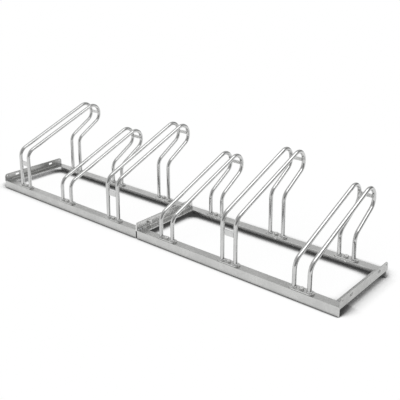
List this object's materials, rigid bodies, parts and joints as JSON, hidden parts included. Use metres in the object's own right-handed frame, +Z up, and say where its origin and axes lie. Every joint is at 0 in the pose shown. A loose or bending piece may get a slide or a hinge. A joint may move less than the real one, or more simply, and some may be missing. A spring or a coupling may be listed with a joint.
{
  "type": "floor bike rack",
  "caption": "Floor-standing galvanised steel bicycle rack: bent tube wheel holders, high and low in turn, on a frame of steel angle made of bolted modules.",
  "frame": {"origin": "on the floor, under the middle of the whole rack's box", "axes": "+X along the rack, to the right as seen from its front; +Y from the front, where the wheels go in, to the rear; +Z up"},
  "size_m": [2.1, 0.535, 0.4254],
  "materials": {
    "galvanised_steel": "hot-dip galvanised, soft matte with a faint spangle",
    "zinc_plated_steel": "zinc plated, satin"
  },
  "bodies": {
    "root": {"foot_bolt_nuts": "zinc_plated_steel", "foot_bolt_washers": "zinc_plated_steel", "foot_bolts": "zinc_plated_steel", "joining_bolts": "zinc_plated_steel", "joining_nuts": "zinc_plated_steel", "joining_washers": "zinc_plated_steel", "left_module_front_rail": "galvanised_steel", "left_module_left_end_bar": "galvanised_steel", "left_module_rear_rail": "galvanised_steel", "left_module_right_end_bar": "galvanised_steel", "place_1_front_crossbar": "galvanised_steel", "place_1_front_foot_plate": "galvanised_steel", "place_1_head_crossbar": "galvanised_steel", "place_1_left_tube": "galvanised_steel", "place_1_rear_foot_plate": "galvanised_steel", "place_1_right_tube": "galvanised_steel", "place_2_front_foot_plate": "galvanised_steel", "place_2_head_crossbar": "galvanised_steel", "place_2_left_tube": "galvanised_steel", "place_2_rear_foot_plate": "galvanised_steel", "place_2_right_tube": "galvanised_steel", "place_3_front_crossbar": "galvanised_steel", "place_3_front_foot_plate": "galvanised_steel", "place_3_head_crossbar": "galvanised_steel", "place_3_left_tube": "galvanised_steel", "place_3_rear_foot_plate": "galvanised_steel", "place_3_right_tube": "galvanised_steel", "place_4_front_foot_plate": "galvanised_steel", "place_4_head_crossbar": "galvanised_steel", "place_4_left_tube": "galvanised_steel", "place_4_rear_foot_plate": "galvanised_steel", "place_4_right_tube": "galvanised_steel", "place_5_front_crossbar": "galvanised_steel", "place_5_front_foot_plate": "galvanised_steel", "place_5_head_crossbar": "galvanised_steel", "place_5_left_tube": "galvanised_steel", "place_5_rear_foot_plate": "galvanised_steel", "place_5_right_tube": "galvanised_steel", "place_6_front_foot_plate": "galvanised_steel", "place_6_head_crossbar": "galvanised_steel", "place_6_left_tube": "galvanised_steel", "place_6_rear_foot_plate": "galvanised_steel", "place_6_right_tube": "galvanised_steel", "right_module_front_rail": "galvanised_steel", "right_module_left_end_bar": "galvanised_steel", "right_module_rear_rail": "galvanised_steel", "right_module_right_end_bar": "galvanised_steel"}
  },
  "joints": []
}
